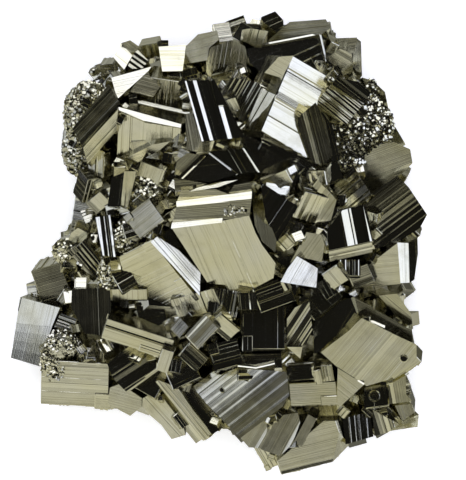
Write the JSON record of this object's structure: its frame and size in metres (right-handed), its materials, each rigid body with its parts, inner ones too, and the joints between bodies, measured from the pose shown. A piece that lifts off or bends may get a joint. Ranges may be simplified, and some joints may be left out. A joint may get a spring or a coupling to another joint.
{
  "type": "pyrite cluster",
  "caption": "Cabinet-size pyrite specimen: striated brassy cubes and blocks grown together on their own ore, lying on a flat cut base.",
  "frame": {"origin": "middle of the flat cut base", "axes": "+Z out of the base towards the crystals, +Y towards the top of the cluster as it is displayed, +X to its right"},
  "size_m": [0.1041, 0.116, 0.0555],
  "materials": {
    "pyrite": "natural crystal faces of pale brassy metal, striated, bright to satin, with fine sparkling grains"
  },
  "bodies": {
    "root": {"pyrite_cluster": "pyrite"}
  },
  "joints": []
}
